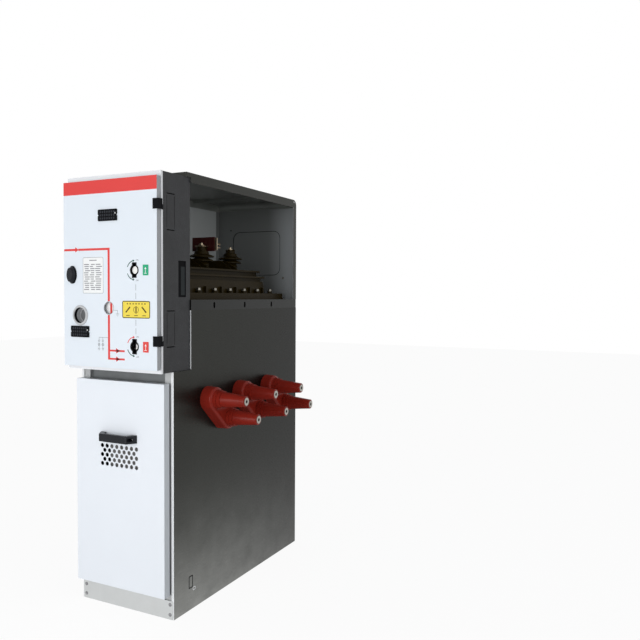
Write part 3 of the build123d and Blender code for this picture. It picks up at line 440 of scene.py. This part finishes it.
worn_by = {
    "door": ["mechanism_door"],
    "cable_door": ["cable_door"],
    "frame": ["box_front_frame"],
    "box": ["box_side_left", "box_side_right", "box_ends"],
    "side": ["side_sheet_left", "side_sheet_right", "rear_wall_lower"],
    "deck": ["deck_rails"],
    "inner": ["left_bay_cover", "box_back"],
    "rear": ["rear_wall_upper", "relief_cover"],
    "roof": ["roof_sheet"],
    "frame_zinc": ["front_frame"],
    "zinc": ["base_rails", "plinth_plate", "door_hooks"],
    "plate": ["mechanism_plates"],
    "epoxy": ["switch_upper_shell", "switch_lower_shell"],
    "cone": ["twin_bushing_front", "twin_bushing_middle", "twin_bushing_rear"],
    "insert": ["bushing_inserts"],
    "brass": ["switch_terminals", "busbar_stub"],
    "bolt": ["flange_bolts"],
    "sleeve": ["busbar_sleeve"],
    "black": [
        "voltage_indicators",
        "lock_rosette",
        "hinge_door_leaves",
        "hinge_box_leaves",
        "keyhole_escutcheons",
    ],
    "charcoal": ["cable_door_handle", "lock_knob"],
    "port": ["viewing_port"],
    "white": ["position_disc"],
    "red_flag": ["status_flag_main"],
    "green_flag": ["status_flag_earthing"],
    "steel": ["main_shaft", "mechanism_spacers"],
    "plated_and_glint": ["earthing_shaft"],
    "spring": ["drive_spring"],
}


def dress_nodes():
    for finish, names in worn_by.items():
        for name in names:
            mesh = nodes[name].data
            mesh.materials.clear()
            mesh.materials.append(finishes[finish])


# Outlines, as lists of corners in millimetres
def rounded(x, z, wide, tall, radius, steps=5):
    """A rectangle about the middle (x, z), with rounded corners."""
    points = []
    for cx, cz, start in (
        (x + wide / 2 - radius, z + tall / 2 - radius, 0),
        (x - wide / 2 + radius, z + tall / 2 - radius, 90),
        (x - wide / 2 + radius, z - tall / 2 + radius, 180),
        (x + wide / 2 - radius, z - tall / 2 + radius, 270),
    ):
        for i in range(steps + 1):
            angle = math.radians(start + 90 * i / steps)
            points.append((cx + radius * math.cos(angle), cz + radius * math.sin(angle)))
    return points


def circle(x, z, radius):
    return rounded(x, z, 2 * radius, 2 * radius, radius)


def bar(start, end, wide):
    """A straight line between two points."""
    run = Vector((end[0] - start[0], end[1] - start[1]))
    side = Vector((-run.y, run.x)).normalized() * wide / 2
    return [
        (start[0] + side.x, start[1] + side.y),
        (end[0] + side.x, end[1] + side.y),
        (end[0] - side.x, end[1] - side.y),
        (start[0] - side.x, start[1] - side.y),
    ]


def arc_bars(x, z, radius, wide, first, last, steps=14):
    """An arc between two angles as joined quads, the outlines in order."""
    outlines = []
    inner, outer = radius - wide / 2, radius + wide / 2
    for i in range(steps):
        a = math.radians(first + (last - first) * i / steps)
        b = math.radians(first + (last - first) * (i + 1) / steps)
        outlines.append(
            [
                (x + inner * math.cos(a), z + inner * math.sin(a)),
                (x + outer * math.cos(a), z + outer * math.sin(a)),
                (x + outer * math.cos(b), z + outer * math.sin(b)),
                (x + inner * math.cos(b), z + inner * math.sin(b)),
            ]
        )
    return outlines


def ring(x, z, radius, wide, steps=48):
    return arc_bars(x, z, radius, wide, 0, 360, steps)


def frame_bars(x, z, wide, tall, radius, line):
    """A rounded rectangular line, inside its outer size, as joined quads."""
    outside = rounded(x, z, wide, tall, radius)
    inside = rounded(x, z, wide - 2 * line, tall - 2 * line, max(radius - line, TIGHTEST))
    count = len(outside)
    return [
        [outside[i], outside[(i + 1) % count], inside[(i + 1) % count], inside[i]]
        for i in range(count)
    ]


def earth_symbol(x, z, widths, step, line):
    """Ever shorter bars under a stem that ends at (x, z)."""
    return [
        bar((x - wide / 2, z - i * step), (x + wide / 2, z - i * step), line)
        for i, wide in enumerate(widths)
    ]


# Solids from outlines
def front_of(name):
    """The foremost Y of a CAD piece, in millimetres."""
    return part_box(name)[0].y / MM


def back_of(name):
    """The rearmost Y of a CAD piece, in millimetres."""
    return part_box(name)[1].y / MM


def prism(shape, near, far):
    """Adds a solid between two outlines in space with matching corners, in millimetres."""
    near, far = (
        [shape.verts.new([length * MM for length in corner]) for corner in outline]
        for outline in (near, far)
    )
    shape.faces.new(near)
    shape.faces.new(list(reversed(far)))
    for i in range(len(near)):
        j = (i + 1) % len(near)
        shape.faces.new((near[i], far[i], far[j], near[j]))


def to_object(name, shape, finish, body):
    mesh = bpy.data.meshes.new(name)
    bmesh.ops.remove_doubles(shape, verts=shape.verts, dist=MERGE)
    bmesh.ops.recalc_face_normals(shape, faces=shape.faces)
    shape.to_mesh(mesh)
    shape.free()
    mesh.materials.append(finishes[finish])
    made = bpy.data.objects.new(name, mesh)
    bpy.context.scene.collection.objects.link(made)
    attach(made, body)


def marks(name, outlines, finish, body, front, thick=PRINT):
    """Flat pieces with outlines in X and Z, from a front plane back by their thickness."""
    shape = bmesh.new()
    for outline in outlines:
        near = [(x, front, z) for x, z in outline]
        prism(shape, near, [(x, front + thick, z) for x, z in outline])
    to_object(name, shape, finish, body)


def side_marks(name, outlines, finish, outer_x, thick=PRINT):
    """Flat pieces with outlines in Y and Z, from an outer plane inwards by their thickness."""
    shape = bmesh.new()
    for outline in outlines:
        near = [(outer_x, y, z) for y, z in outline]
        prism(shape, near, [(outer_x - thick, y, z) for y, z in outline])
    to_object(name, shape, finish, "cabinet")


def screw(shape, place, axis, radius, dome, slot_turn):
    """A domed screw head with a slot, on a thin washer; axis points out of the surface."""
    turn = Vector((0, 0, 1)).rotation_difference(Vector(axis)).to_matrix().to_4x4()
    matrix = Matrix.Translation(Vector(place) * MM) @ turn @ Matrix.Rotation(slot_turn, 4, "Z")
    # Rings from the washer to the top, each a share of the radius and of the dome's height
    rings = ((1.3, 0.0), (1.3, 0.12), (1.0, 0.14), (0.97, 0.6), (0.8, 0.9), (0.45, 1.0))
    slot_half, slot_floor, slot_depth = 0.14, 0.5, 0.55
    count = 24
    made = []
    for share, level in rings:
        ring = []
        for i in range(count):
            angle = 2 * math.pi * i / count
            x, y = radius * share * math.cos(angle), radius * share * math.sin(angle)
            in_slot = abs(y) < radius * slot_half and level > slot_floor
            height = dome * (level - (slot_depth if in_slot else 0.0))
            ring.append(shape.verts.new(matrix @ Vector((x * MM, y * MM, height * MM))))
        made.append(ring)
    for low, high in zip(made, made[1:]):
        for i in range(count):
            j = (i + 1) % count
            shape.faces.new((low[i], low[j], high[j], high[i]))
    shape.faces.new(made[-1])
    shape.faces.new(list(reversed(made[0])))


def screws(name, finish, body, places, radius, dome):
    """Screws at places given as a point and an axis, each with its slot turned further."""
    shape = bmesh.new()
    for i, (place, axis) in enumerate(places):
        screw(shape, place, axis, radius, dome, 0.3 + 0.7 * i)
    to_object(name, shape, finish, body)


# Prints on the mechanism door
door_front = front_of("mechanism_door")


def door_marks(name, outlines, finish, lift=0.0):
    front = door_front - PRINT - lift
    marks(name, outlines, finish, "mechanism_door", front)


def add_mimic_line():
    """The red title strip, and the line from the feeder past the window to two branches."""
    strip = rounded(0, 1781.2, wide=497.6, tall=54.6, radius=2)
    door_marks("title_strip", [strip], "mimic")
    trunk_x, window_z = WINDOW
    window_gap = 28
    feeder, trunk, branch = 9, 11, 7.5
    feeder_z, branches_z, trunk_end = 1526, (1111.5, 1077.8), 1074
    start_x, head_x, tip_x, branch_end = -247, -184, -164, 83
    branch_head, branch_tip, head = 38, 58, 11
    door_marks(
        "mimic_line",
        [
            [
                (start_x, feeder_z + feeder / 2),
                (start_x, feeder_z - feeder / 2),
                (head_x, feeder_z - feeder / 2),
                (head_x, feeder_z - head),
                (tip_x, feeder_z),
                (head_x, feeder_z + head),
                (head_x, feeder_z + feeder / 2),
            ],
            bar((tip_x - 2, feeder_z), (trunk_x + trunk / 2, feeder_z), feeder),
            bar((trunk_x, feeder_z - feeder / 2), (trunk_x, window_z + window_gap), trunk),
            bar((trunk_x, window_z - window_gap), (trunk_x, trunk_end), trunk),
            *[bar((trunk_x + trunk / 2, z), (branch_end, z), branch) for z in branches_z],
            *[
                [(branch_head, z - head), (branch_tip, z), (branch_head, z + head)]
                for z in branches_z
            ],
        ],
        "mimic",
    )


def add_symbols():
    """The ring and earth symbol at the window, and the two legs of the voltage divider."""
    door_marks("window_ring", ring(*WINDOW, radius=26.0, wide=1.6), "pale_ink")
    line, stem_x, lead_z, stem_end = 1.4, 46, 1276, 1262
    door_marks(
        "earth_mark",
        [
            bar((28, lead_z), (stem_x + line / 2, lead_z), line),
            bar((stem_x, lead_z), (stem_x, stem_end), line),
            *earth_symbol(stem_x, stem_end, (17, 11, 5), step=4.5, line=line),
        ],
        "pale_ink",
    )
    line, plate, plate_line, lamp, cross, cross_line = 1.3, 5, 1.6, 5, 3.4, 1.1
    legs_x, lead_z, plates_z, lamp_z, earth_z = (-54, -33.5), 1163.5, (1152, 1148), 1134, 1118
    divider = [bar((legs_x[0], lead_z), (-5.5, lead_z), line)]
    for x in legs_x:
        divider += [
            bar((x, lead_z), (x, plates_z[0]), line),
            *[bar((x - plate, z), (x + plate, z), plate_line) for z in plates_z],
            bar((x, plates_z[1]), (x, lamp_z + lamp), line),
            *ring(x, lamp_z, radius=lamp, wide=1.4, steps=24),
            bar((x - cross, lamp_z - cross), (x + cross, lamp_z + cross), cross_line),
            bar((x - cross, lamp_z + cross), (x + cross, lamp_z - cross), cross_line),
            bar((x, lamp_z - lamp), (x, earth_z), line),
            *earth_symbol(x, earth_z, (12, 8, 4), step=3.4, line=line),
        ]
    door_marks("divider_mark", divider, "row_ink")


def add_instructions():
    """The white plate, with rows of bars of uneven length where text would stand."""
    x, z = -85, 1419
    plate = {"x": x, "z": z, "wide": 112, "tall": 149, "radius": 6}
    text_left, text_wide, text_top, text_rows = x - 50, 96, z + 45, 13
    row_step, row_line, gap = 8.6, 3.4, 3
    rows = []
    for i in range(text_rows):
        row_z = text_top - i * row_step
        for j, (begin, share) in enumerate(((0, 0.32), (0.34, 0.28), (0.64, 0.36))):
            wide = text_wide * share - gap - gap * ((i + j) % 3)
            start = text_left + text_wide * begin + 2 * ((i * 5 + j * 3) % 4)
            rows.append(bar((start, row_z), (start + wide, row_z), row_line))
    rows.append(bar((x - 20, z + 62), (x + 20, z + 62), 3.2))
    door_marks("instruction_rows", rows, "row_ink", LAYER)
    door_marks("instruction_border", frame_bars(**plate, line=1.5), "pale_ink", LAYER)
    door_marks("instruction_plate", [rounded(**plate)], "white")


def add_sign():
    """The yellow sign, with three switch symbols between two rows of small bars."""
    x, z, wide, tall, corner = 143, 1280.5, 142, 69, 7
    over = 0.5
    door_marks("sign_plate", [rounded(x, z, wide, tall, corner)], "yellow")
    border = frame_bars(x, z, wide + over, tall + over, corner, line=3.4)
    door_marks("sign_border", border, "olive_ink", LAYER)
    line, middle, reach = 6, z - 0.5, 60
    sign = [
        bar((x - 53, middle - 11), (x - 31, middle + 11), line),
        bar((x, middle - 15), (x, middle + 14), line),
        bar((x + 30, middle + 11), (x + 52, middle - 11), line),
    ]
    for side in (180, 0):
        sign += arc_bars(x, middle, 12.5, 2.2, side - reach, side + reach, steps=8)
    door_marks("sign_bars", sign, "sign_ink", LAYER)
    top, bottom, half = z + 23, z - 24, 9
    starts = [x - 48 + i * 15 for i in range(7)]
    small = [bar((start, top), (start + 7, top), 4.0) for start in starts]
    for middle in (x - 42, x, x + 41):
        small.append(bar((middle - half, bottom), (middle + half, bottom), 2.8))
    door_marks("sign_rows", small, "sign_ink", LAYER)


def add_key_marks():
    """Dashes between the keyholes, two arcs with arrow heads at each, and the flags' marks."""
    dash, dash_x = 24, 142
    door_marks(
        "link_dashes",
        [bar((dash_x, z), (dash_x, z - dash), 1.8) for z in (1381, 1347, 1240, 1206)],
        "pale_ink",
    )
    radius, line, head, spread = 38, 3.4, 9, 0.14
    for name, z in KEY_Z.items():
        for part, first, last, turn in (("upper", 102, 160, -1), ("lower", 200, 258, 1)):
            tip = math.radians(first if turn < 0 else last)
            out_x, out_z = radius * math.cos(tip), radius * math.sin(tip)
            along_x, along_z = -math.sin(tip) * turn, math.cos(tip) * turn
            arrow = [
                (KEY_X + out_x * (1 - spread), z + out_z * (1 - spread)),
                (KEY_X + out_x * (1 + spread), z + out_z * (1 + spread)),
                (KEY_X + out_x + head * along_x, z + out_z + head * along_z),
            ]
            finish = "mimic" if (name, part) == ("main", "upper") else "green_ink"
            arc = arc_bars(KEY_X, z, radius, line, first, last)
            door_marks(f"{name}_arc_{part}", [*arc, arrow], finish)
    x, line, flag_rise = 193, 2.2, 2
    for flag in ("main", "earthing"):
        z = KEY_Z[flag]
        outlines = [
            bar((x, z - 11), (x, z + 4), line),
            [(x - 5, z + 4), (x + 5, z + 4), (x, z + 12)],
            bar((x - 6, z - 13), (x + 6, z - 13), line),
        ]
        front = door_front - (flag_rise + PRINT)
        name, slot = f"{flag}_flag_mark", f"{flag}_flag"
        marks(name, outlines, "white", "mechanism_door", front)


def add_words():
    """ON and OFF beside the two arcs, as small printed letters."""
    letter, half_thick = 8.5, 0.1
    words = [
        (body, z + rise) for z in KEY_Z.values() for body, rise in (("ON", 37), ("OFF", -44))
    ]
    for i, (body, z) in enumerate(words):
        curve = bpy.data.curves.new(f"word_{i}", "FONT")
        curve.body = body
        curve.size = letter * MM
        curve.extrude = half_thick * MM
        text = bpy.data.objects.new(f"word_curve_{i}", curve)
        bpy.context.scene.collection.objects.link(text)
        text.location = ((KEY_X + 8) * MM, (door_front - LAYER) * MM, z * MM)
        text.rotation_euler = (math.radians(90), 0, 0)
        bpy.context.view_layer.update()
        mesh = bpy.data.meshes.new_from_object(text)
        mesh.transform(text.matrix_world)
        bpy.data.objects.remove(text)
        mesh.materials.clear()
        mesh.materials.append(finishes["pale_ink"])
        made = bpy.data.objects.new(f"word_{i}", mesh)
        bpy.context.scene.collection.objects.link(made)
        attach(made, "mechanism_door")


# Small parts
wall_front = back_of("rear_wall_upper") - SHEET


def add_screws():
    plinth_front = front_of("plinth_plate")
    places = [((x, plinth_front, z), (0, -1, 0)) for x in (-231, 231) for z in (62, 20)]
    screws("plinth_screws", "dull_steel", "cabinet", places, radius=6.0, dome=2.6)
    pull_low, pull_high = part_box("cable_door_handle")
    pocket, inset = 7, 15
    pocket_y = pull_high.y / MM - pocket
    middle = (pull_low.z + pull_high.z) / 2 / MM
    ends = (pull_low.x / MM + inset, pull_high.x / MM - inset)
    places = [((x, pocket_y, middle), (0, -1, 0)) for x in ends]
    screws(
        "handle_screws", "steel", "cable_door", places, radius=4.6, dome=2.6
    )
    roof_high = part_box("roof_sheet")[1]
    places = [((roof_high.x / MM, 494, 1838), (1, 0, 0))]
    places += [((0, y, roof_high.z / MM - SHEET), (0, 0, -1)) for y in (419, -100)]
    screws("roof_screws", "steel", "cabinet", places, radius=3.6, dome=2.4)
    places = [((x, wall_front, 1435), (0, -1, 0)) for x in (-171, 171)]
    screws("wall_screws", "bolt", "cabinet", places, radius=5.0, dome=5.0)


def add_bay_marks():
    """A black line of painted shade round the relief opening, and a black disc of painted shade
    for a small hole beside it.
    """
    cover_low, cover_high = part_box("relief_cover")
    middle = (cover_low.z + cover_high.z) / 2 / MM
    painted_shade = frame_bars(0, middle, wide=303, tall=242, radius=40, line=2.6)
    sunk = 0.6
    front, thick = wall_front + sunk, SHEET - sunk
    marks("relief_shade_line", painted_shade, "painted_shade", "cabinet", front, thick)
    hole = [circle(-167, 1703, radius=4)]
    marks("wall_hole_shade", hole, "painted_shade", "cabinet", wall_front - PRINT)


def add_window_bar():
    x, z = WINDOW
    stripe = [bar((x, z - 24), (x, z + 24), 11)]
    front = front_of("position_disc") - PRINT
    marks("window_bar", stripe, "mimic", "position_disc", front)


def add_port_and_shutters():
    """The dull window at the bottom of the viewing port, its screws, a black ring of painted
    shade down its bore, the earthing keyhole's shutter, and a plated crescent painted as a glint
    in the main keyhole.
    """
    body, slot = "mechanism_door", "port_plastic"
    floor_y = back_of("viewing_port") - SHEET
    window_y = floor_y - 0.4
    marks("port_window", [circle(*PORT, radius=27)], "port_floor", body, window_y)
    shutter_y, shutter_and_glint = door_front + 5, 1.0
    for name, outlines in (
        ("earthing", [circle(KEY_X, KEY_Z["earthing"], radius=15)]),
        # The main keyhole's plated crescent is a painted glint on the shaft.
        ("main", arc_bars(KEY_X, KEY_Z["main"], radius=9, wide=6, first=-75, last=60)),
    ):
        marks(f"{name}_shutter", outlines, "plated_and_glint", body, shutter_y, shutter_and_glint)
    places = [((x, window_y, z), (0, -1, 0)) for x, z in ((-140, 1251), (-156, 1236))]
    screws("port_screws", "dull_steel", body, places, radius=3.2, dome=1.6)
    # Painted shade: a black ring down the bore of the viewing port.
    bore_shade = ring(*PORT, radius=32.2, wide=1.2)
    front, deep = front_of("viewing_port") + 4, 18.0
    marks("port_bore_shade", bore_shade, "painted_shade", body, front, deep)


def add_vent_painted_light_pad():
    """A grey pad behind the vents, as painted light for the lit inside of the cabinet seen
    through them.
    """
    pad, thick = [rounded(22, 661, wide=176, tall=108, radius=4)], 3.0
    front = front_of("cable_door") + 14
    marks("vent_painted_light_pad", pad, "vent_painted_light", "cable_door", front, thick)


def add_side_marks():
    """The small ring low on the right, a black outline of painted shade in the groove round the
    tab, and what shows in the side slot: a dark panel on a black plate of painted shade.
    """
    side_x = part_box("side_sheet_right")[1].x / MM
    loop = frame_bars(-384, 84, wide=21, tall=15, radius=7, line=3.2)
    side_marks("side_ring", loop, "frame", side_x + PRINT)
    tab = frame_bars(-407, 119, wide=28, tall=54, radius=3, line=4.6)
    side_marks("side_tab_shade_line", tab, "painted_shade", side_x + 0.1)
    inner_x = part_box("box_side_right")[0].x / MM
    slot_shade = [rounded(-455, 1406, wide=60, tall=160, radius=2)]
    side_marks("slot_shade_plate", slot_shade, "painted_shade", inner_x - 0.7)
    panel = [rounded(-448, 1398, wide=26, tall=118, radius=1)]
    side_marks("slot_panel", panel, "slot_panel", inner_x - 0.3)


def add_folded_edges():
    """Pale strips on the folded front edges of the two side sheets, below the mechanism box and
    behind it: painted light on edges in shade.
    """
    box_bottom, gap, margin, corner = 1025.0, 2.0, 1.0, 0.6
    lower_inner, upper_inner = 238, 245
    for side, sheet in ((-1, "left"), (1, "right")):
        low, high = (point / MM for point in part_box(f"side_sheet_{sheet}"))
        outer = (low.x if side < 0 else high.x) - side * PRINT
        box_back = back_of(f"box_side_{sheet}")
        for level, inner, face, bottom, top in (
            ("lower", side * lower_inner, low.y, margin, box_bottom - gap),
            ("upper", side * upper_inner, box_back, box_bottom + gap, high.z - margin),
        ):
            middle = (inner + outer) / 2, (bottom + top) / 2
            edge = [rounded(*middle, abs(outer - inner), top - bottom, corner)]
            name, front = f"{sheet}_edge_{level}", face - PRINT
            marks(name, edge, "painted_light_edge", "cabinet", front)


def add_indicator_details():
    """Embossed rows and the small lamp on the front of the two voltage indicators."""
    body, slot = "mechanism_door", "black_plastic"
    front = front_of("voltage_indicators") - PRINT
    for name, x, z in (("upper", -3, 1663), ("lower", -157, 1185)):
        embossed = [
            rounded(x + 12 * column, z + 13 * row, wide=7, tall=8, radius=1.5)
            for column in range(-3, 4)
            for row in (-1, 0, 1)
        ]
        marks(f"indicator_{name}_rows", embossed, "row_ink_dark", body, front)
        lamp = [rounded(x + 43, z + 7, wide=4, tall=6, radius=1.8)]
        marks(f"indicator_{name}_lamp", lamp, "white", body, front)


# Floor, world and lamps
WHITE = (1.0, 1.0, 1.0, 1.0)
FLOOR_PAINT = (0.93, 0.93, 0.93, 1.0)
SKY = (0.96, 0.98, 1.0, 1.0)


def add_stage():
    """A pale floor that the camera sees nearly white, with the object's shadow on it."""
    shape = bmesh.new()
    bmesh.ops.create_grid(shape, x_segments=1, y_segments=1, size=15.0)
    mesh = bpy.data.meshes.new("floor")
    shape.to_mesh(mesh)
    shape.free()
    floor = bpy.data.objects.new("floor", mesh)
    bpy.context.scene.collection.objects.link(floor)
    floor.location.z = -0.0005
    made, tree, shader = new_tree("floor_paint")
    shader.inputs["Base Color"].default_value = FLOOR_PAINT
    shader.inputs["Roughness"].default_value = 0.9
    glow = tree.nodes.new("ShaderNodeEmission")
    glow.inputs["Color"].default_value = WHITE
    glow_share = ranged(tree, outside_cabinet(tree), 0.0, 0.93, 0.99, 1.0)
    mix = tree.nodes.new("ShaderNodeMixShader")
    tree.links.new(maths(tree, "MULTIPLY", seen_rays(tree), glow_share), mix.inputs["Fac"])
    tree.links.new(shader.outputs["BSDF"], mix.inputs[1])
    tree.links.new(glow.outputs["Emission"], mix.inputs[2])
    output = next(n for n in tree.nodes if n.type == "OUTPUT_MATERIAL")
    tree.links.new(mix.outputs["Shader"], output.inputs["Surface"])
    mesh.materials.append(made)


def add_world(level):
    """A soft sky that lights at this level and is seen as white."""
    world = bpy.data.worlds.new("studio")
    bpy.context.scene.world = world
    world.use_nodes = True
    tree = world.node_tree
    tree.nodes.clear()
    mix = tree.nodes.new("ShaderNodeMixShader")
    tree.links.new(seen_rays(tree), mix.inputs["Fac"])
    for socket, colour, strength in ((mix.inputs[1], SKY, level), (mix.inputs[2], WHITE, 1.0)):
        light = tree.nodes.new("ShaderNodeBackground")
        light.inputs["Color"].default_value = colour
        light.inputs["Strength"].default_value = strength
        tree.links.new(light.outputs["Background"], socket)
    output = tree.nodes.new("ShaderNodeOutputWorld")
    tree.links.new(mix.outputs["Shader"], output.inputs["Surface"])


def add_lamp(name, place, target, size, power):
    data = bpy.data.lights.new(name, "AREA")
    data.shape = "RECTANGLE"
    data.size, data.size_y = size
    data.energy = power
    lamp = bpy.data.objects.new(name, data)
    lamp.location = place
    lamp.rotation_euler = (Vector(target) - Vector(place)).to_track_quat("-Z", "Y").to_euler()
    bpy.context.scene.collection.objects.link(lamp)


add_camera()
dress_nodes()
add_mimic_line()
add_symbols()
add_instructions()
add_sign()
add_key_marks()
add_words()
add_screws()
add_bay_marks()
add_window_bar()
add_port_and_shutters()
add_vent_painted_light_pad()
add_side_marks()
add_folded_edges()
add_indicator_details()
add_stage()
add_world(level=0.5)
add_lamp("key", place=(-0.3, -4.5, 1.15), target=(0, -0.4, 0.65), size=(2.8, 2.8), power=88.0)
add_lamp("side", place=(4.2, -1.8, 2.2), target=(0.2, 0, 1.1), size=(2.4, 2.4), power=26.0)
